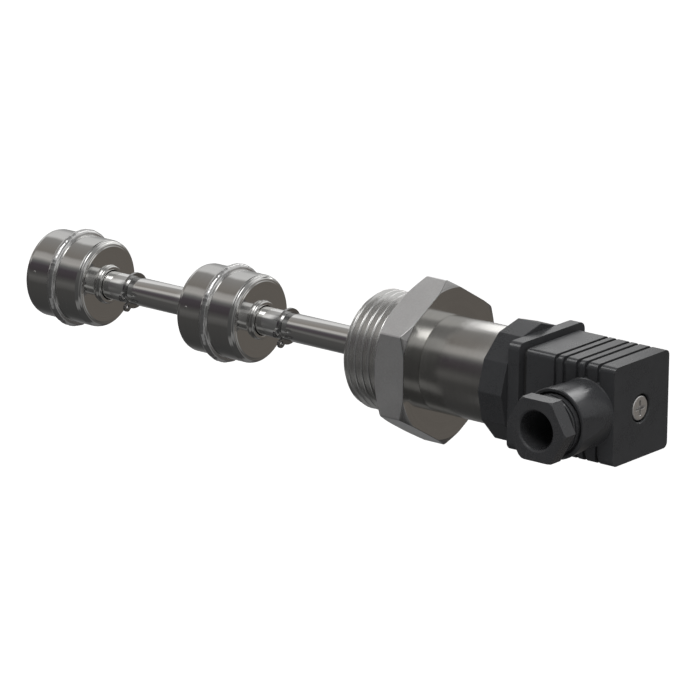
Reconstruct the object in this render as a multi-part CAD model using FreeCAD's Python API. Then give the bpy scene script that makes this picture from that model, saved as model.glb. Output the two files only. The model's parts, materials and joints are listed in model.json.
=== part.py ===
import FreeCAD, Part
import os
from math import cos, sin, tan, radians, pi, sqrt

V = FreeCAD.Vector
os.makedirs("parts", exist_ok=True)

# Float level sensor, millimetres.
# Frame: origin on the stem axis at the hexagon's sealing face (the face that
# meets the tank), +Z up along the stem towards the connector, cable gland
# towards -Y.

# ---------------------------------------------------------------- dimensions
# process fitting
THREAD_R = 16.62          # 1 inch parallel pipe thread, major radius
THREAD_ROOT_R = 15.14
THREAD_LEN = 14.8
THREAD_CHAMFER = 1.7
HEX_AF = 40.3
HEX_H = 9.8
HEX_TURN = 0.0            # degrees, vertex direction from the X axis
HEX_CHAM_R_LOW = 20.4
HEX_CHAM_R_UP = 21.0
HEX_CHAM_TAN_LOW, HEX_CHAM_TAN_UP = 0.68, 0.55
FIT_FLOOR_Z = -10.0       # floor of the hollow inside the fitting
FIT_BORE_R = 11.0
SPIGOT_R = 12.0
SPIGOT_H = 3.0

# housing tube
TUBE_R = 13.5
TUBE_RI = 12.0
TUBE_TOP = 32.2

# stem
STEM_R = 4.0
STEM_RI = 3.0
STEM_TOP = -7.0
STEM_BOT = -138.0
GROOVE_R = 3.8
CLIP_T = 0.8
GROOVE_W = 0.9

# floats
FLOAT_R = 12.5
BEAD_R = 14.0
BEAD_HW = 1.25
FLOAT_L = 21.0
FLOAT_WALL = 0.25
FLOAT_CORNER = 1.9
SLEEVE_R = 4.85
BORE_R = 4.25
COLLAR_R = 5.4
COLLAR_H = 1.2
LOW_FLOAT_C = -122.2      # middle height of the lower float
UP_FLOAT_C = -66.35
TRAVEL = 8.2              # free travel to the ring above
MAG_RI = 5.3
MAG_RO = 7.6
MAG_H = 4.0

# adapter and connector
ADP_BOT = TUBE_TOP
ADP_TOP = 40.0
ADP_RC = 16.9             # corner radius of the twelve-sided collar
ADP_TURN = -2.0           # degrees, corner direction from the X axis
BASE_X, BASE_Y = 15.0, 14.7
BASE_DY = 0.7             # the flange sits a little off centre, away from the gland
BASE_T = 3.6
BASE_CORNER = 2.2
GASKET_T = 1.3
PLUG_X, PLUG_Y = 13.6, 12.3
PLUG_TOP = 73.6
GROOVES = (54.4, 57.2, 61.5, 64.3, 68.4)
GROOVE_HW, GROOVE_D = 0.58, 0.9
GLAND_X, GLAND_Z = 0.0, 64.4
BOSS_Y, BOSS_RIM_R, BOSS_NECK_R = -26.1, 9.7, 9.05    # cable boss: open end, its radius, the radius at the wall
NUT_AF = 16.8
NUT_Y0 = -34.3
NUT_HEX_T = 4.7
NUT_BORE = 5.3

BASE_Z = ADP_TOP
GASKET_Z = BASE_Z + BASE_T
PLUG_Z = GASKET_Z + GASKET_T


# ------------------------------------------------------------------- helpers
def cyl(r, z0, z1, x=0, y=0):
    return Part.makeCylinder(r, z1 - z0, V(x, y, z0), V(0, 0, 1))


def cyl_y(r, y0, y1, x=GLAND_X, z=GLAND_Z):
    return Part.makeCylinder(r, y1 - y0, V(x, y0, z), V(0, 1, 0))


def tube(ro, ri, z0, z1):
    return cyl(ro, z0, z1).cut(cyl(ri, z0 - 1, z1 + 1))


def box(x0, x1, y0, y1, z0, z1):
    return Part.makeBox(x1 - x0, y1 - y0, z1 - z0, V(x0, y0, z0))


def prism(n, rc, z0, z1, a0=0.0):
    p = [V(rc * cos(radians(a0 + 360.0 * k / n)), rc * sin(radians(a0 + 360.0 * k / n)), z0) for k in range(n)]
    return Part.Face(Part.makePolygon(p + [p[0]])).extrude(V(0, 0, z1 - z0))


def revolve(pts):
    w = Part.makePolygon([V(r, 0, z) for r, z in pts] + [V(pts[0][0], 0, pts[0][1])])
    return Part.Face(w).revolve(V(0, 0, 0), V(0, 0, 1), 360)


def rbox(hx, hy, z0, z1, r):
    b = box(-hx, hx, -hy, hy, z0, z1)
    es = [e for e in b.Edges if abs(e.Vertexes[0].Point.x - e.Vertexes[1].Point.x) < 1e-6
          and abs(e.Vertexes[0].Point.y - e.Vertexes[1].Point.y) < 1e-6]
    return b.makeFillet(r, es)


def save(shape, node):
    if not shape.isValid():
        shape = shape.removeSplitter()
        print("not valid at first:", node, shape.isValid())
    shape.exportStep("parts/" + node + ".step")
    print("%-26s solids %d volume %.1f" % (node, len(shape.Solids), shape.Volume))


# ----------------------------------------------------------- process fitting
hexagon = prism(6, HEX_AF / sqrt(3), 0, HEX_H, HEX_TURN)
R2 = HEX_AF / sqrt(3) + 2
cone = revolve([(0, 0), (HEX_CHAM_R_LOW, 0), (R2, (R2 - HEX_CHAM_R_LOW) * HEX_CHAM_TAN_LOW),
                (R2, HEX_H - (R2 - HEX_CHAM_R_UP) * HEX_CHAM_TAN_UP), (HEX_CHAM_R_UP, HEX_H), (0, HEX_H)])
hexagon = hexagon.common(cone)
# threaded shank: plain at the thread's outer radius, run-out groove under the hexagon
shank = revolve([(0, -THREAD_LEN), (THREAD_R - THREAD_CHAMFER, -THREAD_LEN), (THREAD_R, -THREAD_LEN + THREAD_CHAMFER),
                 (THREAD_R, 0), (0, 0)])
fitting = hexagon.fuse(shank)
fitting = fitting.fuse(cyl(SPIGOT_R, HEX_H - 1, HEX_H + SPIGOT_H))
fitting = fitting.cut(cyl(FIT_BORE_R, FIT_FLOOR_Z, HEX_H + SPIGOT_H + 1))
fitting = fitting.cut(cyl(STEM_R, -THREAD_LEN - 1, 0))
fitting = fitting.removeSplitter()
save(fitting, "process_fitting")

# -------------------------------------------------------------- housing tube
housing = revolve([(TUBE_RI, HEX_H), (TUBE_R, HEX_H), (TUBE_R, TUBE_TOP), (TUBE_RI, TUBE_TOP)])
save(housing, "housing_tube")

# ---------------------------------------------------------------------- stem
low_rest = LOW_FLOAT_C - FLOAT_L / 2          # ring tops the floats rest on
up_rest = UP_FLOAT_C - FLOAT_L / 2
low_stop = LOW_FLOAT_C + FLOAT_L / 2 + COLLAR_H + TRAVEL
up_stop = UP_FLOAT_C + FLOAT_L / 2 + COLLAR_H + TRAVEL
clip_z = [low_rest - CLIP_T, low_stop, up_rest - CLIP_T, up_stop]   # underside of each ring

stem = tube(STEM_R, STEM_RI, STEM_BOT, STEM_TOP)
for z in clip_z:
    stem = stem.cut(tube(STEM_R + 1, GROOVE_R, z - 0.05, z - 0.05 + GROOVE_W))
save(stem, "stem_tube")

plug = revolve([(0, STEM_BOT - 1.2), (3.3, STEM_BOT - 1.2), (3.95, STEM_BOT - 0.5), (3.95, STEM_BOT),
                (STEM_RI, STEM_BOT), (STEM_RI, STEM_BOT + 2.0), (0, STEM_BOT + 2.0)])
save(plug, "stem_end_plug")


def retaining_ring(z):
    # slightly eccentric open ring with two holed ears, gap towards -60 degrees
    body = cyl(5.15, z, z + CLIP_T, 0, 0)
    ears = []
    a0 = -60
    for s in (-1, 1):
        a = radians(a0 + s * 21)
        ear = cyl(1.35, z, z + CLIP_T, 5.35 * cos(a), 5.35 * sin(a))
        neck = box(0, 5.35, -1.35, 1.35, z, z + CLIP_T)
        neck.rotate(V(0, 0, 0), V(0, 0, 1), a0 + s * 21)
        ears.append(ear.fuse(neck))
    body = body.fuse(ears)
    body = body.cut(cyl(GROOVE_R, z - 1, z + 2))
    gap = box(0, 9, -0.85, 0.85, z - 1, z + 2)
    gap.rotate(V(0, 0, 0), V(0, 0, 1), a0)
    body = body.cut(gap)
    for s in (-1, 1):
        a = radians(a0 + s * 21)
        body = body.cut(cyl(0.55, z - 1, z + 2, 5.35 * cos(a), 5.35 * sin(a)))
    return body.removeSplitter().Solids[0]


save(Part.makeCompound([retaining_ring(z) for z in clip_z]), "stem_circlips")


# -------------------------------------------------------------------- floats
def shell(zc, s):
    # one half shell, s = +1 upper, -1 lower: outer wall, rolled rim at the weld
    h = FLOAT_L / 2
    w = FLOAT_WALL
    c = FLOAT_CORNER
    ro, ri = FLOAT_R, FLOAT_R - w
    pts = []
    # outside, from the weld plane outwards to the sleeve
    pts.append((BEAD_R, 0))
    n = 6
    for k in range(1, n):
        a = pi / 2 * k / n
        pts.append((ro + (BEAD_R - ro) * cos(a), BEAD_HW * sin(a)))
    pts.append((ro, BEAD_HW))
    pts.append((ro, h - c))
    for k in range(1, 9):
        a = pi / 2 * k / 8
        pts.append((ro - c + c * cos(a), h - c + c * sin(a)))
    pts.append((SLEEVE_R, h))
    pts.append((SLEEVE_R, h - w))
    ci = c - w
    for k in range(0, 9):
        a = pi / 2 * (1 - k / 8.0)
        pts.append((ri - ci + ci * cos(a), h - c + ci * sin(a)))
    pts.append((ri, 0))
    return revolve([(r, zc + s * z) for r, z in pts])


def sleeve(zc):
    h = FLOAT_L / 2
    z0, z1 = zc - h, zc + h
    return revolve([(BORE_R, z0), (SLEEVE_R, z0), (SLEEVE_R, z1), (COLLAR_R, z1),
                    (COLLAR_R, z1 + COLLAR_H - 0.35), (COLLAR_R - 0.35, z1 + COLLAR_H),
                    (BORE_R + 0.25, z1 + COLLAR_H), (BORE_R, z1 + COLLAR_H - 0.25)])


for name, zc in (("lower", LOW_FLOAT_C), ("upper", UP_FLOAT_C)):
    save(shell(zc, 1), name + "_float_upper_shell")
    save(shell(zc, -1), name + "_float_lower_shell")
    save(sleeve(zc), name + "_float_sleeve")
    save(tube(MAG_RO, MAG_RI, zc - MAG_H / 2, zc + MAG_H / 2)
         if MAG_RI > SLEEVE_R else None, name + "_float_magnet")

# ------------------------------------------------------- inside of the stem
STRIP_Z0, STRIP_Z1 = -134.0, -18.0
strip = box(-2.1, 2.1, 0.1, 0.9, STRIP_Z0, STRIP_Z1)
save(strip, "reed_strip")
REED_R, REED_L, REED_Y = 1.05, 14.0, -0.95
for name, zc in (("lower", LOW_FLOAT_C), ("upper", UP_FLOAT_C)):
    g = cyl(REED_R, zc - REED_L / 2, zc + REED_L / 2, 0, REED_Y)
    g = g.makeFillet(0.7, [e for e in g.Edges if e.Curve.TypeId == "Part::GeomCircle"])
    save(g, name + "_reed_switch")
leads = []
for zc in (LOW_FLOAT_C, UP_FLOAT_C):
    leads.append(cyl(0.25, zc - REED_L / 2 - 4, zc - REED_L / 2, 0, REED_Y))
    leads.append(cyl(0.25, zc + REED_L / 2, zc + REED_L / 2 + 4, 0, REED_Y))
save(Part.makeCompound(leads), "reed_leads")


def bent_wire(pts, r):
    out = None
    for i in range(len(pts) - 1):
        a, b = V(*pts[i]), V(*pts[i + 1])
        s = Part.makeCylinder(r, (b - a).Length, a, b - a)
        out = s if out is None else out.fuse(s)
        if i:
            out = out.fuse(Part.makeSphere(r, a))
    return out.removeSplitter().Solids[0]


WIRE_R = 0.55
wires = []
TAIL_R = 5.0
for k in range(3):
    a = radians(30 + 120 * k)
    x, y = 2.1 * cos(a), 2.1 * sin(a)
    X, Y = TAIL_R * cos(a), TAIL_R * sin(a)
    wires.append(bent_wire([(x, y, -17.5), (x, y, 6.0), (X, Y, 20.0), (X, Y, 34.0)], WIRE_R))
save(Part.makeCompound(wires), "signal_wires")

# cast resin around the stem's open end
POT_TOP = 4.0
pot = cyl(FIT_BORE_R, FIT_FLOOR_Z, POT_TOP).cut(cyl(STEM_R, FIT_FLOOR_Z - 1, STEM_TOP))
for k in range(3):
    a = radians(30 + 120 * k)
    pot = pot.cut(cyl(WIRE_R, FIT_FLOOR_Z - 1, POT_TOP + 1, 2.1 * cos(a), 2.1 * sin(a)))
save(pot.removeSplitter(), "potting_fill")

# ------------------------------------------------------------------- adapter
adapter = prism(12, ADP_RC, ADP_BOT, ADP_TOP, ADP_TURN)
adapter = adapter.fuse(cyl(11.9, ADP_BOT - 6.5, ADP_BOT + 0.5))
adapter = adapter.cut(cyl(9.0, ADP_BOT - 8, ADP_TOP + 1))
adapter = adapter.cut(tube(13, 10.7, ADP_BOT - 4.0, ADP_BOT - 2.2))
save(adapter.removeSplitter(), "connector_adapter")
seal = Part.makeTorus(11.35, 0.65, V(0, 0, ADP_BOT - 3.1))
save(seal, "adapter_seal")

# ------------------------------------------------------------ connector base
base = rbox(BASE_X, BASE_Y, BASE_Z, GASKET_Z, BASE_CORNER)
base.translate(V(0, BASE_DY, 0))
# locating ring into the adapter, raised contact block towards the plug
base = base.fuse(cyl(8.9, BASE_Z - 4.0, BASE_Z + 0.5))
BLOCK_TOP = 52.0
base = base.fuse(rbox(8.6, 8.6, GASKET_Z - 0.5, BLOCK_TOP, 1.5))
base = base.cut(cyl(1.25, GASKET_Z - 2.4, BLOCK_TOP + 1))
BLADES = [(5.6, 90), (5.6, 0), (5.6, 180)]      # distance and direction of the three contacts
EARTH = (5.6, 270)


def blade(dist, ang, w, z0, z1, t=0.8):
    b = box(dist - t / 2, dist + t / 2, -w / 2, w / 2, z0, z1)
    tip = [e for e in b.Edges if abs(e.Vertexes[0].Point.z - z1) < 1e-6 and abs(e.Vertexes[1].Point.z - z1) < 1e-6
           and abs(e.Vertexes[0].Point.x - e.Vertexes[1].Point.x) < 1e-6]
    b = b.makeChamfer(0.25, tip)
    b.rotate(V(0, 0, 0), V(0, 0, 1), ang)
    return b


TIP = 60.0
TAIL = 34.0
blades = [blade(d, a, 4.8, TAIL + 0.4, TIP) for d, a in BLADES]
earth = blade(EARTH[0], EARTH[1], 6.3, TAIL + 0.4, TIP + 1.5)
for b in blades + [earth]:
    base = base.cut(b)
save(base.removeSplitter(), "connector_base")
save(Part.makeCompound(blades), "contact_blades")
save(earth, "earth_blade")

gasket = rbox(PLUG_X - 0.7, PLUG_Y - 0.7, GASKET_Z, PLUG_Z, 2.0).cut(rbox(8.7, 8.7, GASKET_Z - 1, PLUG_Z + 1, 1.5))
save(gasket, "flat_gasket")

# -------------------------------------------------------------- plug housing
CAV_TOP = 68.6
house = rbox(PLUG_X, PLUG_Y, PLUG_Z, PLUG_TOP, 1.6)
for z in GROOVES:
    ring = box(-30, 30, -30, 30, z - GROOVE_HW, z + GROOVE_HW)
    ring = ring.cut(rbox(PLUG_X - GROOVE_D, PLUG_Y - GROOVE_D, z - 3, z + 3, 1.3))
    house = house.cut(ring)
SEAT_Y = -PLUG_Y + 1.1    # the boss is sunk this deep in the wall, past the grooves
FILLET = 0.4


def on_gland(r, y):
    return V(GLAND_X + r, y, GLAND_Z)


FOOT_Y = -PLUG_Y - FILLET
ARC = FILLET * (1 - sqrt(0.5))
outline = [
    Part.makePolygon([on_gland(BOSS_NECK_R, FOOT_Y), on_gland(BOSS_RIM_R, BOSS_Y + 0.3), on_gland(BOSS_RIM_R - 0.3, BOSS_Y),
                      on_gland(0, BOSS_Y), on_gland(0, SEAT_Y), on_gland(BOSS_NECK_R + FILLET, SEAT_Y), on_gland(BOSS_NECK_R + FILLET, -PLUG_Y)]),
    Part.Arc(on_gland(BOSS_NECK_R + FILLET, -PLUG_Y), on_gland(BOSS_NECK_R + ARC, -PLUG_Y - ARC), on_gland(BOSS_NECK_R, FOOT_Y)).toShape(),
]
boss = Part.Face(Part.Wire([e for o in outline for e in o.Edges])).revolve(V(GLAND_X, 0, GLAND_Z), V(0, 1, 0), 360)
boss = boss.common(box(-PLUG_X, PLUG_X, -40, 0, PLUG_Z, PLUG_TOP))
house = house.fuse(boss)
cavity = rbox(PLUG_X - 2.6, PLUG_Y - 2.6, PLUG_Z - 1, CAV_TOP, 1.2)
house = house.cut(cavity)
GL_BORE = 7.2
GR1 = -14.8               # shoulder that the grommet rests on
house = house.cut(cyl_y(GL_BORE, BOSS_Y - 1, GR1))
house = house.cut(cyl_y(5.8, GR1 - 1, -8))
house = house.cut(cyl_y(8.75, BOSS_Y - 1, BOSS_Y + 1.3))
SCREW_REC_R, SCREW_REC_H = 3.9, 3.2
house = house.cut(cyl(SCREW_REC_R, PLUG_TOP - SCREW_REC_H, PLUG_TOP + 1))
house = house.cut(Part.makeCone(SCREW_REC_R, SCREW_REC_R + 0.3, 0.3, V(0, 0, PLUG_TOP - 0.3)))
house = house.cut(cyl(1.75, CAV_TOP - 2, PLUG_TOP))
save(house.removeSplitter(), "plug_housing")

# contact carrier inside the plug, with the slots for the blades
INS0, INS1 = 52.6, 66.5
ins = rbox(9.2, 9.2, INS0, INS1, 1.2)
for d, a in BLADES:
    s = box(d - 0.75, d + 0.75, -2.7, 2.7, INS0 - 1, TIP + 1.5)
    s.rotate(V(0, 0, 0), V(0, 0, 1), a)
    ins = ins.cut(s)
s = box(EARTH[0] - 0.75, EARTH[0] + 0.75, -3.5, 3.5, INS0 - 1, TIP + 3)
s.rotate(V(0, 0, 0), V(0, 0, 1), EARTH[1])
ins = ins.cut(s)
ins = ins.cut(cyl(1.9, INS0 - 1, INS1 + 1))
SCREWS = [(6.4, 6.4), (-6.4, 6.4), (6.4, -6.4), (-6.4, -6.4)]
for x, y in SCREWS:
    ins = ins.cut(cyl(1.3, INS1 - 4.0, INS1 + 1, x, y))
save(ins.removeSplitter(), "terminal_insert")
tscrews = []
for x, y in SCREWS:
    t = cyl(1.3, INS1 - 4.0, INS1 + 0.4, x, y)
    t = t.cut(box(x - 2, x + 2, y - 0.25, y + 0.25, INS1 - 0.3, INS1 + 1))
    tscrews.append(t)
save(Part.makeCompound(tscrews), "terminal_screws")

# fixing screw with a cross and slot head, small seal under it
HEAD_R, HEAD_T = 3.4, 2.2
HZ = PLUG_TOP - SCREW_REC_H + 0.7
fs = cyl(HEAD_R, HZ, HZ + HEAD_T)
fs = fs.makeFillet(0.4, [e for e in fs.Edges if e.Curve.TypeId == "Part::GeomCircle" and e.Vertexes[0].Point.z > HZ + 1])
fs = fs.fuse(cyl(1.45, GASKET_Z + 0.2, HZ + 0.2).common(cyl(1.45, GASKET_Z - 5, HZ + 0.2)))
cross = box(-2.1, 2.1, -0.42, 0.42, HZ + HEAD_T - 1.3, HZ + HEAD_T + 1)
cross = cross.fuse(box(-0.42, 0.42, -2.1, 2.1, HZ + HEAD_T - 1.3, HZ + HEAD_T + 1))
fs = fs.cut(cross)
fs = fs.cut(tube(2, 1.2, GASKET_Z - 5, BLOCK_TOP + 0.3))
save(fs.removeSplitter(), "fixing_screw")
save(tube(3.2, 1.55, HZ - 0.7, HZ), "screw_seal")


# --------------------------------------------------------------- cable gland
def hex_y(af, y0, y1, turn=30.0):
    rc = af / sqrt(3)
    p = [V(GLAND_X + rc * cos(radians(turn + 60 * k)), y0, GLAND_Z + rc * sin(radians(turn + 60 * k))) for k in range(6)]
    return Part.Face(Part.makePolygon(p + [p[0]])).extrude(V(0, y1 - y0, 0))


NUT_HEX_Y1 = NUT_Y0 + NUT_HEX_T
NUT_END = -20.6
nut = hex_y(NUT_AF, NUT_Y0, NUT_HEX_Y1)
NUT_CHAM_R = 9.15
lim = Part.makeCone(NUT_CHAM_R, NUT_CHAM_R + 3.0, 3.0, V(GLAND_X, NUT_Y0, GLAND_Z), V(0, 1, 0))
lim = lim.fuse(cyl_y(NUT_CHAM_R + 3.0, NUT_Y0 + 3.0, NUT_HEX_Y1))
nut = nut.common(lim)
nut = nut.fuse(cyl_y(8.1, NUT_HEX_Y1 - 0.2, BOSS_Y + 0.9))
nut = nut.fuse(cyl_y(7.1, BOSS_Y, NUT_END))
for y in (-28.75, -27.45):                    # last turns of the nut's thread, open to view
    nut = nut.cut(cyl_y(9, y - 0.3, y + 0.3).cut(cyl_y(7.6, y - 1, y + 1)))
nut = nut.cut(cyl_y(NUT_BORE, NUT_Y0 - 1, NUT_END + 1))
nut = nut.cut(Part.makeCone(NUT_BORE + 0.5, NUT_BORE, 0.5, V(GLAND_X, NUT_Y0, GLAND_Z), V(0, 1, 0)))
save(nut.removeSplitter(), "gland_nut")
washer = cyl_y(7.0, NUT_END, NUT_END + 0.8).cut(cyl_y(4.9, NUT_END - 1, NUT_END + 2))
save(washer, "gland_washer")
grommet = cyl_y(7.1, NUT_END + 0.8, GR1).cut(cyl_y(4.0, NUT_END - 1, GR1 + 1))
save(grommet, "gland_grommet")
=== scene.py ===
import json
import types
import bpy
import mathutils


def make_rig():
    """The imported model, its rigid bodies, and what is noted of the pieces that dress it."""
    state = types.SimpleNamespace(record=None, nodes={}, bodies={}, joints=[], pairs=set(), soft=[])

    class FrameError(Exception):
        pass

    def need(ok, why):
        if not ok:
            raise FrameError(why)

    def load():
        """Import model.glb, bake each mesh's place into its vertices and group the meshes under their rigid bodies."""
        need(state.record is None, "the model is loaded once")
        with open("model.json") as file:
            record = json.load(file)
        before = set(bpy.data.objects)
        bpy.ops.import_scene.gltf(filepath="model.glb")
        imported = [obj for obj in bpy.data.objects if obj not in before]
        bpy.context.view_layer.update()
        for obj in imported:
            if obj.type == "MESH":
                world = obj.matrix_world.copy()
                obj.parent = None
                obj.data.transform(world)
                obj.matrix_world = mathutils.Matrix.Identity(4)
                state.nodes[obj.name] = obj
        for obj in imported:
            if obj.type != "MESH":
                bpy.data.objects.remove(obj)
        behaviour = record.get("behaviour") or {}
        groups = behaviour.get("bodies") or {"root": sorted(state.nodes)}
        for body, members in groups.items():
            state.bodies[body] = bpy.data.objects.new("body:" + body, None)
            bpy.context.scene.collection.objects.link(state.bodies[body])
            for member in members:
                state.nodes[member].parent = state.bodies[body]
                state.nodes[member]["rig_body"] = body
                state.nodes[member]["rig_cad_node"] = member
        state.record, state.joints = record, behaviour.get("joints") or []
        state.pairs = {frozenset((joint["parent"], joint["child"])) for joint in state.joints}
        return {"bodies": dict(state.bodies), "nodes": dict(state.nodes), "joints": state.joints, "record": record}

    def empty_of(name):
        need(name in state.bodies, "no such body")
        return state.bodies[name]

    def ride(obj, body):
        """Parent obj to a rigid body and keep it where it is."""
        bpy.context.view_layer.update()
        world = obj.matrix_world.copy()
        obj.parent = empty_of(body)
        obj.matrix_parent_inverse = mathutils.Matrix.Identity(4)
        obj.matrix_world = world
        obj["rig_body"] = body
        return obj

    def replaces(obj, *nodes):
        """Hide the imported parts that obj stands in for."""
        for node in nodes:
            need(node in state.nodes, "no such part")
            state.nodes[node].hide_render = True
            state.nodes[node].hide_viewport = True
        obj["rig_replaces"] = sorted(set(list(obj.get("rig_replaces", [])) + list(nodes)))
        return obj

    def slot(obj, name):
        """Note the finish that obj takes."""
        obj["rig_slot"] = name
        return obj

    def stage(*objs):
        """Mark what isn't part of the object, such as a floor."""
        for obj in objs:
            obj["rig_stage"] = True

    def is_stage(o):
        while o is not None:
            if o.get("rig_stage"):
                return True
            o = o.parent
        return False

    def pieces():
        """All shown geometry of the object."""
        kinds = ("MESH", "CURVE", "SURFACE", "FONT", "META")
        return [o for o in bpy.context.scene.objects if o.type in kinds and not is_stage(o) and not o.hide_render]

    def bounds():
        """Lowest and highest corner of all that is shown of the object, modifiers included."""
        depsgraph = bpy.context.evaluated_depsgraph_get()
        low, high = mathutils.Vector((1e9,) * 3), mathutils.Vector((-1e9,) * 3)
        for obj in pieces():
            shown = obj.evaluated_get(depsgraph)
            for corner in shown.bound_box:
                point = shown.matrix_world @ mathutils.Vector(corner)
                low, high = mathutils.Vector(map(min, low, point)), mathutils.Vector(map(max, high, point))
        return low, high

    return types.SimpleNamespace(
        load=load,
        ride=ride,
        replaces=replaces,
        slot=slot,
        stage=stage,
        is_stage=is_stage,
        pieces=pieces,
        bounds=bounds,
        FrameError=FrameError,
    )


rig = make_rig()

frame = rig.load()
CAD_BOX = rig.bounds()

import json
import bpy
import bmesh
from math import sin, cos, tan, pi, radians, sqrt, hypot, atan2
from mathutils import Matrix, Vector

MM = 0.001
NODES = frame["nodes"]
SC = bpy.context.scene

# dimensions repeated from the solid model, millimetres
THREAD_R, THREAD_PITCH, THREAD_LEN, THREAD_CHAMFER = 16.62, 2.309, 14.8, 1.7
HEX_AF, HEX_H = 40.3, 9.8
HEX_R_LOW, HEX_R_UP = 20.4, 21.0
HEX_T_LOW, HEX_T_UP = 0.68, 0.55
SPIGOT_R, SPIGOT_H, FIT_BORE_R, FIT_FLOOR = 12.0, 3.0, 11.0, -10.0
TUBE_R, TUBE_RI, TUBE_TOP = 13.5, 12.0, 32.2
STEM_R, STEM_RI, STEM_TOP, STEM_BOT = 4.0, 3.0, -7.0, -138.0
GROOVE_R, CLIP_T, GROOVE_W = 3.8, 0.8, 0.9
FLOAT_R, BEAD_R, BEAD_HW, FLOAT_L, FLOAT_WALL, FLOAT_CORNER = 12.5, 14.0, 1.25, 21.0, 0.25, 1.9
SLEEVE_R, BORE_R, COLLAR_R, COLLAR_H = 4.85, 4.25, 5.4, 1.2
LOW_C, UP_C, TRAVEL = -122.2, -66.35, 8.2
GLAND_X, GLAND_Z = 2.1, 60.76


# ============================================================ camera
def camera():
    data = bpy.data.cameras.new("Camera")
    data.sensor_fit = "HORIZONTAL"
    data.sensor_width = 36.0
    data.lens = 294.99
    data.clip_start, data.clip_end = 0.05, 50
    cam = bpy.data.objects.new("Camera", data)
    SC.collection.objects.link(cam)
    rot = Matrix(((-0.010511, -0.959347, -0.282032),
                  (0.622679, 0.214408, -0.752529),
                  (0.782407, -0.183525, 0.595112)))
    cam.matrix_world = Matrix.Translation((-0.440251, -1.181941, 0.910277)) @ rot.to_4x4()
    SC.camera = cam


camera()


# ================================================================ materials
class Mat:
    """A small helper around one node tree."""

    def __init__(self, name):
        self.m = bpy.data.materials.new(name)
        self.m.use_nodes = True
        self.t = self.m.node_tree
        self.b = self.t.nodes["Principled BSDF"]
        self.out = self.t.nodes["Material Output"]

    def n(self, kind, **kw):
        x = self.t.nodes.new(kind)
        for k, v in kw.items():
            setattr(x, k, v)
        return x

    def link(self, a, b):
        self.t.links.new(a, b)

    def setv(self, **kw):
        for k, v in kw.items():
            self.b.inputs[k.replace("_", " ")].default_value = v

    def coords(self):
        return self.n("ShaderNodeTexCoord").outputs["Object"]

    def mapping(self, vec, scale):
        mp = self.n("ShaderNodeMapping")
        mp.inputs["Scale"].default_value = scale
        self.link(vec, mp.inputs["Vector"])
        return mp.outputs["Vector"]

    def noise(self, vec, scale=1.0, detail=2.0, rough=0.5):
        x = self.n("ShaderNodeTexNoise")
        x.inputs["Scale"].default_value = scale
        x.inputs["Detail"].default_value = detail
        x.inputs["Roughness"].default_value = rough
        self.link(vec, x.inputs["Vector"])
        return x.outputs["Fac"]

    def remap(self, fac, lo, hi, a=0.3, b=0.7):
        x = self.n("ShaderNodeMapRange")
        x.inputs["From Min"].default_value = a
        x.inputs["From Max"].default_value = b
        x.inputs["To Min"].default_value = lo
        x.inputs["To Max"].default_value = hi
        self.link(fac, x.inputs["Value"])
        return x.outputs["Result"]

    def math(self, op, a, b=None):
        x = self.n("ShaderNodeMath", operation=op)
        for i, v in enumerate((a, b)):
            if v is None:
                continue
            if isinstance(v, (int, float)):
                x.inputs[i].default_value = v
            else:
                self.link(v, x.inputs[i])
        return x.outputs[0]

    def ramp(self, fac, stops):
        x = self.n("ShaderNodeValToRGB")
        el = x.color_ramp.elements
        el[0].position, el[0].color = stops[0][0], (*stops[0][1], 1)
        el[1].position, el[1].color = stops[-1][0], (*stops[-1][1], 1)
        for p, c in stops[1:-1]:
            e = el.new(p)
            e.color = (*c, 1)
        self.link(fac, x.inputs["Fac"])
        return x.outputs["Color"]

    def bump(self, height, dist, strength=1.0, prev=None):
        x = self.n("ShaderNodeBump")
        x.inputs["Distance"].default_value = dist
        x.inputs["Strength"].default_value = strength
        self.link(height, x.inputs["Height"])
        if prev is not None:
            self.link(prev, x.inputs["Normal"])
        return x.outputs["Normal"]

    def turned_coords(self, fine, along=25.0):
        """Coordinates that vary fast with radius and height, slowly around the axis."""
        sep = self.n("ShaderNodeSeparateXYZ")
        self.link(self.coords(), sep.inputs[0])
        x, y, z = sep.outputs
        r = self.math("SQRT", self.math("ADD", self.math("MULTIPLY", x, x), self.math("MULTIPLY", y, y)))
        c = self.n("ShaderNodeCombineXYZ")
        self.link(self.math("MULTIPLY", self.math("ADD", r, self.math("MULTIPLY", z, 1.37)), fine), c.inputs[0])
        self.link(self.math("MULTIPLY", x, along), c.inputs[1])
        self.link(self.math("MULTIPLY", y, along), c.inputs[2])
        return c.outputs[0]

    def tangent(self):
        tg = self.n("ShaderNodeTangent", direction_type="RADIAL", axis="Z")
        self.link(tg.outputs[0], self.b.inputs["Tangent"])


def turned_steel(name, col, rough, fine, bump, aniso, spread=0.05, tone=0.06):
    """Steel with marks that run round the axis."""
    m = Mat(name)
    v = m.turned_coords(fine)
    f = m.noise(v, 1.0, 3.0, 0.6)
    slow = m.noise(m.coords(), 90.0, 3.0, 0.55)
    both = m.math("ADD", m.math("MULTIPLY", f, 0.65), m.math("MULTIPLY", slow, 0.35))
    m.link(m.ramp(both, [(0.3, tuple(c * (1 - tone) for c in col)), (0.7, tuple(min(1, c * (1 + tone)) for c in col))]),
           m.b.inputs["Base Color"])
    m.link(m.remap(both, max(0.02, rough - spread), rough + spread), m.b.inputs["Roughness"])
    m.setv(Metallic=1.0, Anisotropic=aniso, Anisotropic_Rotation=0.25)
    m.tangent()
    m.link(m.bump(f, bump), m.b.inputs["Normal"])
    return m.m


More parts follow.
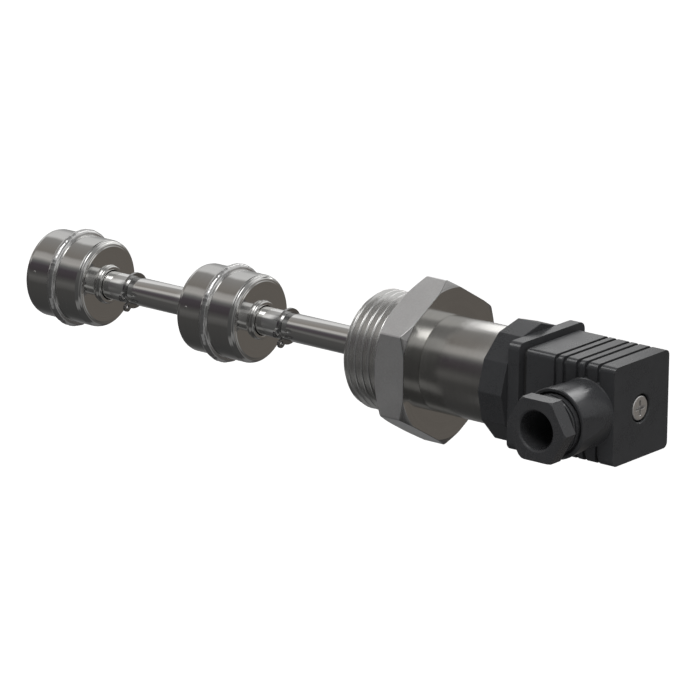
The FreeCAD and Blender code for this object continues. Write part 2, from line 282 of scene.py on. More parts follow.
def grained_steel(name, col, rough, scale, bump, tone=0.07, metal=1.0):
    """Steel with an even fine grain: drawn or pickled faces."""
    m = Mat(name)
    c = m.coords()
    f = m.noise(c, scale, 3.0, 0.6)
    slow = m.noise(c, scale / 14.0, 2.0, 0.5)
    both = m.math("ADD", m.math("MULTIPLY", f, 0.6), m.math("MULTIPLY", slow, 0.4))
    m.link(m.ramp(both, [(0.3, tuple(x * (1 - tone) for x in col)), (0.7, tuple(min(1, x * (1 + tone)) for x in col))]),
           m.b.inputs["Base Color"])
    m.link(m.remap(both, rough - 0.06, rough + 0.06), m.b.inputs["Roughness"])
    m.setv(Metallic=metal)
    m.link(m.bump(f, bump), m.b.inputs["Normal"])
    return m.m


def moulded(name, col, rough, scale=2600.0, bump=6e-6, spec=0.5, tone=0.12):
    """Moulded plastic or rubber: fine eroded texture, faint cloudy tone."""
    m = Mat(name)
    c = m.coords()
    f = m.noise(c, scale, 3.0, 0.65)
    slow = m.noise(c, 140.0, 3.0, 0.55)
    both = m.math("ADD", m.math("MULTIPLY", f, 0.45), m.math("MULTIPLY", slow, 0.55))
    m.link(m.ramp(both, [(0.3, tuple(x * (1 - tone) for x in col)), (0.7, tuple(x * (1 + tone) for x in col))]),
           m.b.inputs["Base Color"])
    m.link(m.remap(both, rough - 0.05, rough + 0.05), m.b.inputs["Roughness"])
    m.b.inputs["Specular IOR Level"].default_value = spec
    m.link(m.bump(f, bump), m.b.inputs["Normal"])
    return m.m


STEEL = (0.66, 0.655, 0.64)
M_TURNED = turned_steel("steel_turned", (0.74, 0.735, 0.72), 0.22, 5200.0, 2.5e-6, 0.35)
M_FACE = turned_steel("steel_faced", STEEL, 0.10, 4200.0, 2.5e-6, 0.35, 0.03)
M_TUBE = turned_steel("steel_brushed_tube", (0.58, 0.57, 0.55), 0.20, 6500.0, 5.5e-6, 0.5, tone=0.09)
# painted light: the hexagon flats get a near-white, partly diffuse steel, lighter than the rest of the fitting, so that
# they read as brightly lit
M_FLAT = grained_steel("steel_flat_painted_light", (0.94, 0.94, 0.945), 0.35, 1900.0, 1.0e-5, metal=0.92)
# painted light: the stem is the same polished steel as the floats, given a near-white base so that its highlights read
# brighter
M_STEM = turned_steel("steel_polished_stem_painted_light", (0.93, 0.925, 0.91), 0.09, 3500.0, 1.0e-6, 0.2, 0.03, 0.03)
M_FLOAT = turned_steel("steel_polished_float", (0.70, 0.695, 0.68), 0.09, 3000.0, 1.2e-6, 0.25, 0.03, 0.04)
M_WELD = grained_steel("steel_weld_seam", (0.72, 0.715, 0.71), 0.17, 900.0, 1.0e-5)
M_SPRING = grained_steel("spring_steel_ring", (0.42, 0.42, 0.42), 0.12, 2500.0, 1.5e-6)
M_SCREW = grained_steel("plated_screw", (0.86, 0.85, 0.84), 0.38, 2200.0, 6e-6)
M_THREAD = grained_steel("steel_cut_thread", (0.80, 0.795, 0.78), 0.23, 2600.0, 3e-7, tone=0.03, metal=0.96)
# painted shade: the chamfers and edge bevels of the hexagon are the same turned steel as its face, given a darker base
# so that they read as shaded
M_CHAMFER = turned_steel("steel_chamfer_painted_shade", (0.42, 0.415, 0.41), 0.28, 5200.0, 3e-6, 0.3)
M_PLASTIC = moulded("black_plastic", (0.049, 0.050, 0.0525), 0.29, bump=1.8e-6, spec=0.13)
M_GLAND = moulded("black_plastic_gland", (0.050, 0.0505, 0.053), 0.27, 3200.0, 1.5e-6, spec=0.25)
M_RUBBER = moulded("black_rubber", (0.026, 0.026, 0.026), 0.62, 1800.0, 1.0e-5, 0.35)
M_MAGNET = grained_steel("ferrite_magnet", (0.10, 0.10, 0.10), 0.55, 1500.0, 1.5e-5)
M_CONTACT = grained_steel("tinned_contact", (0.78, 0.76, 0.70), 0.30, 2500.0, 5e-6)
M_BOARD = moulded("green_board", (0.045, 0.13, 0.05), 0.35, 3000.0, 4e-6)
M_WIRE = moulded("wire_insulation", (0.45, 0.45, 0.43), 0.4, 3000.0, 4e-6)
M_RESIN = moulded("cast_resin", (0.02, 0.018, 0.015), 0.2, 800.0, 4e-6)
g = Mat("contact_glass")
g.setv(Roughness=0.03, IOR=1.47)
g.b.inputs["Transmission Weight"].default_value = 1.0
g.link(g.ramp(g.noise(g.coords(), 400.0), [(0.3, (0.75, 0.9, 0.82)), (0.7, (0.85, 0.97, 0.9))]), g.b.inputs["Base Color"])
M_GLASS = g.m


# ================================================================= geometry
def finish_mesh(name, bm, mats, body, node=None, slot=None, sharp=32.0, merge=2e-7, weighted=False):
    bmesh.ops.remove_doubles(bm, verts=bm.verts, dist=merge)
    bmesh.ops.dissolve_degenerate(bm, edges=bm.edges, dist=merge)
    bmesh.ops.recalc_face_normals(bm, faces=bm.faces)
    me = bpy.data.meshes.new(name)
    bm.to_mesh(me)
    bm.free()
    for m in mats:
        me.materials.append(m)
    for p in me.polygons:
        p.use_smooth = True
    me.set_sharp_from_angle(angle=radians(sharp))
    ob = bpy.data.objects.new(name, me)
    SC.collection.objects.link(ob)
    if weighted:
        w = ob.modifiers.new("Normals", "WEIGHTED_NORMAL")
        w.keep_sharp = True
        w.weight = 80
    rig.ride(ob, body)
    if node:
        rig.replaces(ob, *([node] if isinstance(node, str) else node))
    if slot:
        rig.slot(ob, slot)
    return ob


def rounded(pts, radii, seg=4):
    """Rounds the corners of a closed (r, z) outline. radii gives each corner's radius, 0 for none."""
    out, n = [], len(pts)
    for i in range(n):
        p, a, b = Vector(pts[i]), Vector(pts[i - 1]), Vector(pts[(i + 1) % n])
        rad = radii[i]
        if rad <= 0:
            out.append(tuple(p))
            continue
        u, v = (a - p), (b - p)
        lu, lv = u.length, v.length
        u.normalize()
        v.normalize()
        ang = u.angle(v)
        d = min(rad / tan(ang / 2), 0.48 * lu, 0.48 * lv)
        rr = d * tan(ang / 2)
        c = p + (u + v).normalized() * (rr / sin(ang / 2))
        a0, a1 = p + u * d - c, p + v * d - c
        t0, t1 = atan2(a0.y, a0.x), atan2(a1.y, a1.x)
        while t1 - t0 > pi:
            t1 -= 2 * pi
        while t1 - t0 < -pi:
            t1 += 2 * pi
        for k in range(seg + 1):
            t = t0 + (t1 - t0) * k / seg
            out.append((c.x + rr * cos(t), c.y + rr * sin(t)))
    return out


def lathe(name, outline, mats, body, node=None, slot=None, seg=192, z_offset=0.0, matidx=None, wobble=None, extra=None, **kw):
    """Closed (r, z) outline in millimetres, turned round the stem axis."""
    bm = bmesh.new()
    rings = []
    for i in range(seg):
        a = 2 * pi * i / seg
        ring = []
        for k, (r, z) in enumerate(outline):
            if wobble:
                r, z = wobble(r, z, a)
            ring.append(bm.verts.new((r * cos(a) * MM, r * sin(a) * MM, (z + z_offset) * MM)))
        rings.append(ring)
    n = len(outline)
    for i in range(seg):
        A, B = rings[i], rings[(i + 1) % seg]
        for k in range(n):
            l = (k + 1) % n
            try:
                f = bm.faces.new((A[k], A[l], B[l], B[k]))
                if matidx:
                    f.material_index = matidx(outline[k], outline[l])
            except ValueError:
                pass
    if extra:
        extra(bm)
    return finish_mesh(name, bm, mats, body, node, slot, **kw)


# ----------------------------------------------------------- process fitting
def thread_radius(z, a):
    """Radius of the parallel pipe thread at height z (mm) and angle a."""
    p, rc, f = THREAD_PITCH, 0.3171, 27.5
    s = (z - p * a / (2 * pi)) / p
    s = (s - round(s)) * p
    s = abs(s)
    s1 = rc * sin(radians(90 - f))
    d1 = rc * (1 - cos(radians(90 - f)))
    k = 1 / tan(radians(f))
    flank = p / 2 - 2 * s1
    if s < s1:
        d = rc - sqrt(rc * rc - s * s)
    elif s < p / 2 - s1:
        d = d1 + (s - s1) * k
    else:
        u = p / 2 - s
        d = 2 * d1 + flank * k - (rc - sqrt(max(0.0, rc * rc - u * u)))
    return THREAD_R - d


def fitting():
    bm = bmesh.new()
    # angles: even steps, with extra ones beside the hexagon's edges
    angs = [radians(1.2 * i) for i in range(300)]
    for v in range(6):
        for d in (0.25, 0.5, 0.75, 1.0):
            angs += [radians(60 * v + d), radians(60 * v - d)]
    angs = sorted(set(round(a % (2 * pi), 9) for a in angs))
    n = len(angs)
    root = THREAD_R - 1.478
    z0, z1 = -THREAD_LEN, -1.3

    def limit(z):
        lo = THREAD_R - THREAD_CHAMFER + (z - z0)
        hi = root + 0.02 + max(0.0, (z1 - z)) * 1.6
        return min(lo, hi)

    def vert(r, z, a):
        return bm.verts.new((r * cos(a) * MM, r * sin(a) * MM, z * MM))

    m = 16
    rows = int((z1 - z0) / THREAD_PITCH * m) + 2 * m + 2
    cols = []
    for a in angs + [angs[0] + 2 * pi]:
        col = []
        for j in range(rows):
            z = z0 - THREAD_PITCH + j * THREAD_PITCH / m + THREAD_PITCH * a / (2 * pi)
            zc = min(max(z, z0), z1)
            r = min(thread_radius(zc, a), limit(zc))
            col.append(vert(r, zc, a))
        cols.append(col)
    for i in range(n):
        A, B = cols[i], cols[i + 1]
        for j in range(rows - 1):
            f = bm.faces.new((A[j], B[j], B[j + 1], A[j + 1]))
            f.material_index = 0

    # hexagon and the turned parts, one section per angle
    def corner(p, q, s, b):
        p, q, s = Vector(p), Vector(q), Vector(s)
        u, v = q - p, s - p
        bu, bv = min(b, 0.45 * u.length), min(b, 0.45 * v.length)
        e1 = p + (u.normalized() * bu if u.length > 1e-9 else Vector((0, 0)))
        e2 = p + (v.normalized() * bv if v.length > 1e-9 else Vector((0, 0)))
        mid = (e1 + e2) * 0.5 * 0.6 + p * 0.4
        return [tuple(e1), tuple(mid), tuple(e2)]

    secs = []
    for a in angs:
        k = round((a - radians(30)) / radians(60))
        off = a - radians(30) - k * radians(60)
        d = HEX_AF / 2 / cos(off)
        rv = HEX_AF / 2 / cos(radians(30))
        d = min(d, rv - 0.16)                       # the edge itself is slightly broken
        zu = HEX_H - max(0.0, d - HEX_R_UP) * HEX_T_UP
        zl = max(0.0, d - HEX_R_LOW) * HEX_T_LOW
        ru, rl = min(d, HEX_R_UP), min(d, HEX_R_LOW)
        b = 0.14
        sec = [(root + 0.02, z1, 0), (root + 0.02, -0.25, 0), (root + 0.3, 0.0, 0)]
        el_, eu_ = min(HEX_R_LOW, d - 2.2 * b), min(HEX_R_UP, d - 2.2 * b)

        def low(r):
            return max(0.0, r - HEX_R_LOW) * HEX_T_LOW

        def up(r):
            return HEX_H - max(0.0, r - HEX_R_UP) * HEX_T_UP

        pts = [(el_ - 0.5 * b, 0.0, 2), (el_ + 0.5 * b, low(el_ + 0.5 * b), 2), (d - b, low(d - b), 2), (d - 0.3 * b, low(d) + 0.25 * b, 2),
               (d, zl + 0.9 * b, 1),
               (d, zu - 0.9 * b, 1), (d - 0.3 * b, up(d) - 0.25 * b, 3), (d - b, up(d - b), 3), (eu_ + 0.5 * b, up(eu_ + 0.5 * b), 3),
               (eu_ - 0.5 * b, HEX_H, 4)]
        sec += pts
        sec += [(17.5, HEX_H, 4), (SPIGOT_R - 0.02, HEX_H, 4), (SPIGOT_R - 0.02, HEX_H + SPIGOT_H, 4), (FIT_BORE_R, HEX_H + SPIGOT_H, 4),
                (FIT_BORE_R, FIT_FLOOR, 4), (STEM_R + 0.02, FIT_FLOOR, 4), (STEM_R + 0.02, -THREAD_LEN + 0.3, 4),
                (STEM_R + 0.35, -THREAD_LEN, 4), (min(thread_radius(z0, a), limit(z0)), z0, 4)]
        secs.append([(vert(r, z, a), mi) for r, z, mi in sec])
    for i in range(n):
        A, B = secs[i], secs[(i + 1) % n]
        for j in range(len(A) - 1):
            if (A[j][0].co - A[j + 1][0].co).length < 1e-9 and (B[j][0].co - B[j + 1][0].co).length < 1e-9:
                continue
            f = bm.faces.new((A[j][0], B[j][0], B[j + 1][0], A[j + 1][0]))
            mi = A[j + 1][1]
            # the side of the hexagon is the stretch between its two bevels
            f.material_index = {0: 0, 1: 1, 2: 2, 3: 2, 4: 3}[mi if not (A[j][1] == 1 and mi == 1) else 1]
    ob = finish_mesh("process_fitting_visual", bm, [M_THREAD, M_FLAT, M_CHAMFER, M_FACE], "sensor_body",
                     "process_fitting", "stainless_turned", sharp=28.0, merge=1.5e-7)
    for f in ob.data.polygons:
        if f.material_index == 1:
            f.use_smooth = False
    return ob


fitting()

# -------------------------------------------------------------- housing tube
lathe("housing_tube_visual",
      rounded([(TUBE_RI, HEX_H), (TUBE_R, HEX_H), (TUBE_R, TUBE_TOP), (TUBE_RI, TUBE_TOP)], [0, 0.15, 0.2, 0.1]),
      [M_TUBE], "sensor_body", "housing_tube", "stainless_tube", seg=288)

# ---------------------------------------------------------------------- stem
LOW_REST, UP_REST = LOW_C - FLOAT_L / 2, UP_C - FLOAT_L / 2
LOW_STOP, UP_STOP = LOW_C + FLOAT_L / 2 + COLLAR_H + TRAVEL, UP_C + FLOAT_L / 2 + COLLAR_H + TRAVEL
CLIP_Z = sorted([LOW_REST - CLIP_T, LOW_STOP, UP_REST - CLIP_T, UP_STOP])


def stem():
    pts, rad = [(STEM_RI, STEM_BOT), (STEM_R, STEM_BOT)], [0, 0.15]
    for z in CLIP_Z:
        for r, zz, q in ((STEM_R, z - 0.05, 0.05), (GROOVE_R, z - 0.05, 0.03),
                         (GROOVE_R, z - 0.05 + GROOVE_W, 0.03), (STEM_R, z - 0.05 + GROOVE_W, 0.05)):
            pts.append((r, zz))
            rad.append(q)
    pts += [(STEM_R, STEM_TOP), (STEM_RI, STEM_TOP)]
    rad += [0.1, 0]
    lathe("stem_tube_visual", rounded(pts, rad, 2), [M_STEM], "sensor_body", "stem_tube", "stainless_polished", seg=144)


stem()
lathe("stem_end_plug_visual",
      rounded([(0.0, STEM_BOT - 1.2), (3.3, STEM_BOT - 1.2), (3.95, STEM_BOT - 0.5), (3.95, STEM_BOT),
               (STEM_RI, STEM_BOT), (STEM_RI, STEM_BOT + 2), (0.0, STEM_BOT + 2)], [0, 0.5, 0.3, 0.05, 0, 0, 0], 4),
      [M_WELD], "sensor_body", "stem_end_plug", "stainless_polished", seg=96)


# -------------------------------------------------------------------- floats
def float_shell(which, half, zc, s):
    h, w, c = FLOAT_L / 2, FLOAT_WALL, FLOAT_CORNER
    ro, ri = FLOAT_R, FLOAT_R - w
    pts = [(BEAD_R, 0.0)]
    n = 12
    for k in range(1, n):
        a = pi / 2 * k / n
        pts.append((ro + (BEAD_R - ro) * cos(a) ** 0.8, BEAD_HW * sin(a) ** 1.1))
    pts.append((ro + 0.02, BEAD_HW + 0.08))
    pts.append((ro, BEAD_HW + 0.25))
    pts.append((ro, (BEAD_HW + h - c) / 2))
    for k in range(0, 49):
        # spun over in three passes, each leaves a shallow line
        a = pi / 2 * k / 48
        q = c - 0.03 * (1 - cos(12 * a))
        pts.append((ro - c + q * cos(a), h - c + q * sin(a)))
    pts += [(9.0, h), (SLEEVE_R, h), (SLEEVE_R, h - w)]
    ci = c - w
    for k in range(0, 9):
        a = pi / 2 * (1 - k / 8.0)
        pts.append((ri - ci + ci * cos(a), h - c + ci * sin(a)))
    pts.append((ri, 0.0))

    def wob(r, z, a):
        # the weld seam is slightly uneven
        if r > ro + 0.1:
            r += 0.035 * (r - ro) / 1.5 * (sin(23 * a + 1.3) + 0.6 * sin(51 * a + 0.4) + 0.5 * sin(87 * a))
        return r, z

    def idx(p, q):
        return 1 if min(p[0], q[0]) > ro + 0.015 and abs(p[1]) < BEAD_HW + 0.2 else 0

    def pip(bm):
        # small round weld spot that closes the vent hole
        phi, zz, pr, ph = radians(256.0), 6.65, 0.42, 0.16
        rows = []
        for j in range(5):
            t = pi / 2 * j / 4
            rr, hh = pr * cos(t), ph * sin(t) - (0.05 if j == 0 else 0.0)
            row = []
            for i in range(20 if j < 4 else 1):
                u = 2 * pi * i / 20
                az, zq = phi + rr * cos(u) / ro, zz + rr * sin(u)
                row.append(bm.verts.new(((ro + hh) * cos(az) * MM, (ro + hh) * sin(az) * MM, (zc - zq) * MM)))
            rows.append(row)
        for j in range(3):
            for i in range(20):
                bm.faces.new((rows[j][i], rows[j][(i + 1) % 20], rows[j + 1][(i + 1) % 20], rows[j + 1][i]))
        for i in range(20):
            bm.faces.new((rows[3][i], rows[3][(i + 1) % 20], rows[4][0]))

    name = which + "_float_" + half + "_shell"
    return lathe(name + "_visual", [(r, s * z) for r, z in pts], [M_FLOAT, M_WELD], which + "_float", name,
                 "stainless_polished", seg=240, z_offset=zc, wobble=wob, matidx=idx, sharp=40, extra=pip if s < 0 else None)


def float_sleeve(which, zc):
    h = FLOAT_L / 2
    t = h + COLLAR_H
    pts = [(BORE_R, -h), (SLEEVE_R, -h), (SLEEVE_R, h + 0.0), (COLLAR_R + 0.3, h + 0.0), (COLLAR_R, h + 0.35), (COLLAR_R, t), (BORE_R, t)]
    rad = [0, 0, 0, 0.1, 0.3, 0.45, 0.3]
    name = which + "_float_sleeve"
    return lathe(name + "_visual", rounded(pts, rad, 6), [M_FLOAT], which + "_float", name, "stainless_polished", seg=144, z_offset=zc, sharp=40)


for which, zc in (("lower", LOW_C), ("upper", UP_C)):
    float_shell(which, "upper", zc, 1)
    float_shell(which, "lower", zc, -1)
    float_sleeve(which, zc)


# ------------------------------------------------- nodes kept from the solids
def keep(node, mat, bevel=0.0, seg=2, angle=30.0, slot=None):
    ob = NODES[node]
    ob.data.materials.clear()
    ob.data.materials.append(mat)
    if bevel:
        w = ob.modifiers.new("Weld", "WELD")
        w.merge_threshold = 2e-6
        d = ob.modifiers.new("Flat", "DECIMATE")
        d.decimate_type = "DISSOLVE"
        d.angle_limit = radians(0.6)
        b = ob.modifiers.new("Edges", "BEVEL")
        b.width = bevel * MM
        b.segments = seg
        b.limit_method = "ANGLE"
        b.angle_limit = radians(angle)
        b.use_clamp_overlap = True
        b.harden_normals = False
    for p in ob.data.polygons:
        p.use_smooth = True
    ob.data.set_sharp_from_angle(angle=radians(40))
    if bevel:
        w = ob.modifiers.new("Normals", "WEIGHTED_NORMAL")
        w.mode = "FACE_AREA"
        w.weight = 85
        w.thresh = 0.01
        w.keep_sharp = False
    return ob


def plate(bm, loops, z0, z1, b):
    """A flat plate in millimetres from closed 2-D loops (first the outside, then the holes), edges broken by b."""
    fills = {0: [], 1: []}
    for li, loop in enumerate(loops):
        n = len(loop)
        area2 = sum(loop[i][0] * loop[(i + 1) % n][1] - loop[(i + 1) % n][0] * loop[i][1] for i in range(n))
        sgn = 1.0 if area2 > 0 else -1.0
        if li:
            sgn = -sgn
        inset = []
        for i in range(n):
            p, q, r = Vector(loop[i - 1]), Vector(loop[i]), Vector(loop[(i + 1) % n])
            u, v = (q - p).normalized(), (r - q).normalized()
            nu, nv = Vector((-u.y, u.x)) * sgn, Vector((-v.y, v.x)) * sgn
            m = nu + nv
            m = m / max(0.5, m.length_squared / 2.0) if m.length > 1e-6 else nu
            inset.append(q + m * b)
        rows = []
        for pts, z in ((inset, z0), (loop, z0 + b), (loop, z1 - b), (inset, z1)):
            rows.append([bm.verts.new((x * MM, y * MM, z * MM)) for x, y in pts])
        for k in range(3):
            for i in range(n):
                j = (i + 1) % n
                bm.faces.new((rows[k][i], rows[k][j], rows[k + 1][j], rows[k + 1][i]))
        for side, row in ((0, rows[0]), (1, rows[3])):
            for i in range(n):
                fills[side].append(bm.edges.get((row[i], row[(i + 1) % n])))
    for side in (0, 1):
        bmesh.ops.triangle_fill(bm, edges=fills[side], use_beauty=True, use_dissolve=False)


def retaining_rings():
    # the same ring four times: round body, two holed ears beside the gap
    a0, half, ear_c, ear_r = -60.0, 21.0, 5.35, 1.35
    outer = []
    gap = 0.85
    start = a0 + math_deg(gap / 6.2)
    for k in range(241):
        t = start + (360.0 - 2 * math_deg(gap / 6.2)) * k / 240
        rr = 5.15
        for s in (-1, 1):
            d = radians((t - (a0 + s * half) + 180) % 360 - 180)
            if abs(ear_c * sin(d)) < ear_r and abs(d) < 1:
                rr = max(rr, ear_c * cos(d) + sqrt(ear_r ** 2 - (ear_c * sin(d)) ** 2))
        outer.append((rr * cos(radians(t)), rr * sin(radians(t))))
    s2, e2 = a0 + math_deg(gap / GROOVE_R), a0 + 360 - math_deg(gap / GROOVE_R)
    inner = [(3.82 * cos(radians(e2 + (s2 - e2) * k / 160)), 3.82 * sin(radians(e2 + (s2 - e2) * k / 160))) for k in range(161)]
    holes = []
    for s in (-1, 1):
        a = radians(a0 + s * half)
        holes.append([(ear_c * cos(a) + 0.55 * cos(2 * pi * k / 28), ear_c * sin(a) + 0.55 * sin(2 * pi * k / 28)) for k in range(28)])
    bm = bmesh.new()
    for z in CLIP_Z:
        plate(bm, [outer + inner] + holes, z, z + CLIP_T, 0.07)
    return finish_mesh("stem_circlips_visual", bm, [M_SPRING], "sensor_body", "stem_circlips", "spring_steel", sharp=35.0, merge=1e-8)


def math_deg(x):
    return x * 180.0 / pi


retaining_rings()
for nd in ("lower_float_magnet", "upper_float_magnet"):
    keep(nd, M_MAGNET)
keep("reed_strip", M_BOARD)
for nd in ("lower_reed_switch", "upper_reed_switch"):
    keep(nd, M_GLASS)
keep("reed_leads", M_CONTACT)
keep("signal_wires", M_WIRE)
keep("potting_fill", M_RESIN)
keep("connector_adapter", M_PLASTIC, 0.2, angle=22.0)
keep("adapter_seal", M_RUBBER)
keep("connector_base", M_PLASTIC, 0.25)
keep("contact_blades", M_CONTACT)
keep("earth_blade", M_CONTACT)
keep("flat_gasket", M_RUBBER)
keep("plug_housing", M_PLASTIC, 0.18)
keep("terminal_insert", M_PLASTIC)
keep("terminal_screws", M_SCREW)
keep("fixing_screw", M_SCREW, 0.08)
keep("screw_seal", M_RUBBER)
keep("gland_nut", M_GLAND, 0.15)
keep("gland_washer", M_GLAND)
keep("gland_grommet", M_RUBBER)


# ==================================================================== lights
def world():
    w = bpy.data.worlds.new("Studio")
    SC.world = w
    w.use_nodes = True
    t = w.node_tree
    t.nodes.clear()
    L = t.links.new

    def nd(kind, **kw):
        x = t.nodes.new(kind)
        for k, v in kw.items():
            setattr(x, k, v)
        return x

    def math(op, a, b=None, clamp=False):
        x = nd("ShaderNodeMath", operation=op, use_clamp=clamp)
        for i, v in enumerate((a, b)):
            if v is None:
                continue
            if isinstance(v, (int, float)):
                x.inputs[i].default_value = v
            else:
                L(v, x.inputs[i])
        return x.outputs[0]

    def ramp(fac, stops):
        x = nd("ShaderNodeValToRGB")
        el = x.color_ramp.elements
        el[0].position, el[0].color = stops[0][0], (*stops[0][1], 1)
        el[1].position, el[1].color = stops[-1][0], (*stops[-1][1], 1)
        for p, c in stops[1:-1]:
            e = el.new(p)
            e.color = (*c, 1)
        L(fac, x.inputs["Fac"])
        return x.outputs["Color"]

    tc = nd("ShaderNodeTexCoord")
    sep = nd("ShaderNodeSeparateXYZ")
    L(tc.outputs["Generated"], sep.inputs[0])
    x, y, z = sep.outputs
    az = math("DIVIDE", math("ARCTAN2", y, x), 2 * pi)      # -0.5 .. 0.5
    az = math("FRACT", math("ADD", az, 1.0))                # 0 .. 1, 0 along +X
    el = math("DIVIDE", math("ARCSINE", z), pi / 2)         # -1 .. 1

    def g(v, warm=0.0):
        return (v * (1 + warm), v, v * (1 - warm))

    A = 1 / 360.0
    low = ramp(az, [(0.0, g(0.052)), (16 * A, g(0.058)), (30 * A, g(0.10)), (46 * A, g(0.17)), (68 * A, g(0.23)), (86 * A, g(0.31)),
                    (102 * A, g(0.42)), (116 * A, g(0.64)), (147 * A, g(0.70)), (157 * A, g(0.30, 0.02)), (170 * A, g(0.265, 0.03)),
                    (190 * A, g(0.235, 0.06)), (202 * A, g(0.215, 0.07)), (209 * A, g(0.40, 0.03)), (221 * A, g(0.46, 0.03)),
                    (231 * A, g(0.16)), (240 * A, (0.074, 0.064, 0.074)), (256 * A, (0.060, 0.053, 0.058)), (266 * A, g(0.085, 0.02)),
                    (274 * A, g(0.122, 0.02)), (283 * A, g(0.10, 0.02)), (291 * A, g(0.066, 0.02)), (330 * A, g(0.058, 0.01)), (1.0, g(0.052))])
    # above the horizon's lower edge: one wide bright side with dark gaps between its panels
    side = ramp(az, [(0.0, g(0.06)), (14 * A, g(0.06)), (20 * A, g(0.18)), (34 * A, g(0.18)), (40 * A, g(0.07)), (60 * A, g(0.128, 0.10)),
                     (88 * A, g(0.128, 0.10)), (104 * A, g(0.85)), (146 * A, g(1.0)), (158 * A, g(0.42)), (190 * A, g(0.42)),
                     (200 * A, g(0.85)), (222 * A, g(0.8)), (234 * A, g(0.12)), (262 * A, g(0.085)), (304 * A, g(0.07)), (312 * A, g(0.20)),
                     (326 * A, g(0.20)), (334 * A, g(0.06)), (1.0, g(0.06))])
    e = lambda d: (d + 90.0) / 180.0
    el01 = math("MULTIPLY", math("ADD", el, 1.0), 0.5)
    panels = ramp(el01, [(0.0, g(0.5)), (e(-30), g(1.0)), (e(-21), g(1.0)), (e(-18), g(0.10)), (e(-12), g(0.10)), (e(-9), g(1.15)),
                         (e(-1), g(1.15)), (e(2), g(0.12)), (e(8), g(0.12)), (e(11), g(1.15)), (e(18), g(1.0)), (e(22), g(0.72)), (e(46), g(0.72)), (e(50), g(0.3)),
                         (e(56), g(0.3)), (e(60), g(0.9)), (e(80), g(0.9)), (1.0, g(0.9))])
    far = ramp(el01, [(0.0, g(1.0)), (e(20), g(1.0)), (e(28), g(1.0)), (e(44), g(1.0)), (e(56), g(1.8)), (1.0, g(2.2))])
    bright = math("GREATER_THAN", az, 94 * A)
    bright = math("MULTIPLY", bright, math("LESS_THAN", az, 232 * A))
    pick = nd("ShaderNodeMix", data_type="RGBA")
    L(bright, pick.inputs["Factor"])
    L(far, pick.inputs["A"])
    L(panels, pick.inputs["B"])
    prod = nd("ShaderNodeMix", data_type="RGBA", blend_type="MULTIPLY")
    prod.inputs["Factor"].default_value = 1.0
    L(side, prod.inputs["A"])
    L(pick.outputs["Result"], prod.inputs["B"])
    # one soft lamp window on the bright side, seen as the thin white lines of rims and seams
    spot = Vector((cos(radians(196)) * cos(radians(14)), sin(radians(196)) * cos(radians(14)), sin(radians(14))))
    dot = math("ADD", math("ADD", math("MULTIPLY", x, spot.x), math("MULTIPLY", y, spot.y)), math("MULTIPLY", z, spot.z))
    glow = nd("ShaderNodeMapRange", interpolation_type="SMOOTHSTEP")
    glow.inputs["From Min"].default_value = cos(radians(19))
    glow.inputs["From Max"].default_value = cos(radians(9))
    glow.inputs["To Max"].default_value = 2.6
    L(dot, glow.inputs["Value"])
    lamp = nd("ShaderNodeMix", data_type="RGBA", blend_type="ADD")
    lamp.inputs["Factor"].default_value = 1.0
    L(prod.outputs["Result"], lamp.inputs["A"])
    L(glow.outputs["Result"], lamp.inputs["B"])
    high = lamp.outputs["Result"]
    mixf = nd("ShaderNodeMapRange", interpolation_type="SMOOTHSTEP")
    mixf.inputs["From Min"].default_value = -30 / 90
    mixf.inputs["From Max"].default_value = -18 / 90
    L(el, mixf.inputs["Value"])
    mx = nd("ShaderNodeMix", data_type="RGBA")
    L(mixf.outputs["Result"], mx.inputs["Factor"])
    L(low, mx.inputs["A"])
    L(high, mx.inputs["B"])
    bg = nd("ShaderNodeBackground")
    L(mx.outputs["Result"], bg.inputs["Color"])
    bg.inputs["Strength"].default_value = 1.0
    white = nd("ShaderNodeBackground")
    white.inputs["Color"].default_value = (1, 1, 1, 1)
    lp = nd("ShaderNodeLightPath")
    ms = nd("ShaderNodeMixShader")
    L(lp.outputs["Is Camera Ray"], ms.inputs["Fac"])
    L(bg.outputs[0], ms.inputs[1])
    L(white.outputs[0], ms.inputs[2])
    out = nd("ShaderNodeOutputWorld")
    L(ms.outputs[0], out.inputs["Surface"])


world()


def area(name, pos, size, power, col=(1, 1, 1), aim=(0, 0, -0.03), glossy=False):
    l = bpy.data.lights.new(name, "AREA")
    l.shape = "RECTANGLE"
    l.size, l.size_y = size
    l.energy = power
    l.color = col
    o = bpy.data.objects.new(name, l)
    SC.collection.objects.link(o)
    o.location = pos
    o.rotation_euler = (Vector(aim) - Vector(pos)).to_track_quat("-Z", "Y").to_euler()
    o.visible_glossy = glossy
    return o


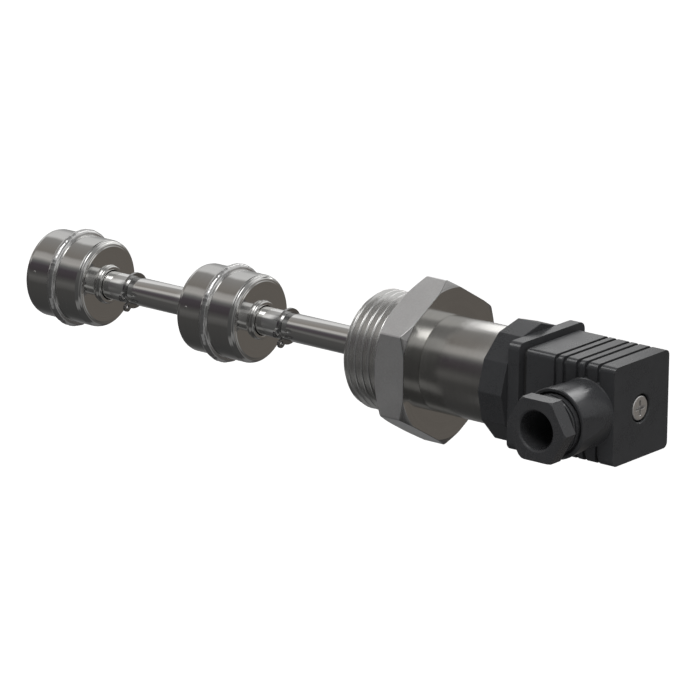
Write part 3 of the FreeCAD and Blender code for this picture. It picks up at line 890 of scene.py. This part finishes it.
area("KeySoft", (-1.35, -0.36, 0.4), (1.0, 0.8), 8)
area("FillSoft", (0.4, -1.6, 0.1), (1.2, 1.2), 8.0)
# a small card low behind the connector: the light lines on its rounded corners
card = area("CardLow", (-0.116, 0.168, -0.088), (0.16, 0.046), 0.026, aim=(0, 0, 0.058), glossy=True)
card.visible_camera = False
area("TopSoft", (0.1, 0.3, 1.5), (1.4, 1.4), 3.0)
# two cards that only some moulded pieces see: the light band on their round corners, the long gleam on boss and gland nut
for nm, az, el, size, power, seen_by in (("CardCorner", 200.0, -34.5, (0.20, 0.20), 1.5, ("plug_housing", "connector_base")),
                                         ("CardBoss", 128.0, -2.0, (0.30, 0.20), 1.6, ("plug_housing", "gland_nut"))):
    d = Vector((cos(radians(az)) * cos(radians(el)), sin(radians(az)) * cos(radians(el)), sin(radians(el))))
    c = area(nm, Vector((0, -0.015, 0.06)) + d * 0.5, size, power, aim=(0, -0.015, 0.06), glossy=True)
    c.visible_camera = False
    c.visible_diffuse = False
    receivers = bpy.data.collections.new(nm + "_pieces")
    for nd in seen_by:
        receivers.objects.link(NODES[nd])
    c.light_linking.receiver_collection = receivers

# floor: pale, lit mostly by itself so that it stays even
fm = Mat("floor_pale")
fm.link(fm.ramp(fm.noise(fm.coords(), 3.0), [(0.3, (0.86, 0.86, 0.86)), (0.7, (0.90, 0.90, 0.90))]), fm.b.inputs["Base Color"])
fm.setv(Roughness=0.9)
fm.b.inputs["Emission Color"].default_value = (1, 1, 1, 1)
fm.b.inputs["Emission Strength"].default_value = 0.62
bpy.ops.mesh.primitive_plane_add(size=16, location=(0, 0, -0.30))
floor = bpy.context.object
floor.name = "floor"
floor.data.materials.append(fm.m)
floor.visible_glossy = False
floor.visible_diffuse = False
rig.stage(floor)

SC.view_settings.view_transform = "Standard"
SC.view_settings.look = "None"

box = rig.bounds()
with open("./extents.json", "w") as f:
    json.dump({"cad": [list(CAD_BOX[0]), list(CAD_BOX[1])], "visual": [list(box[0]), list(box[1])]}, f)
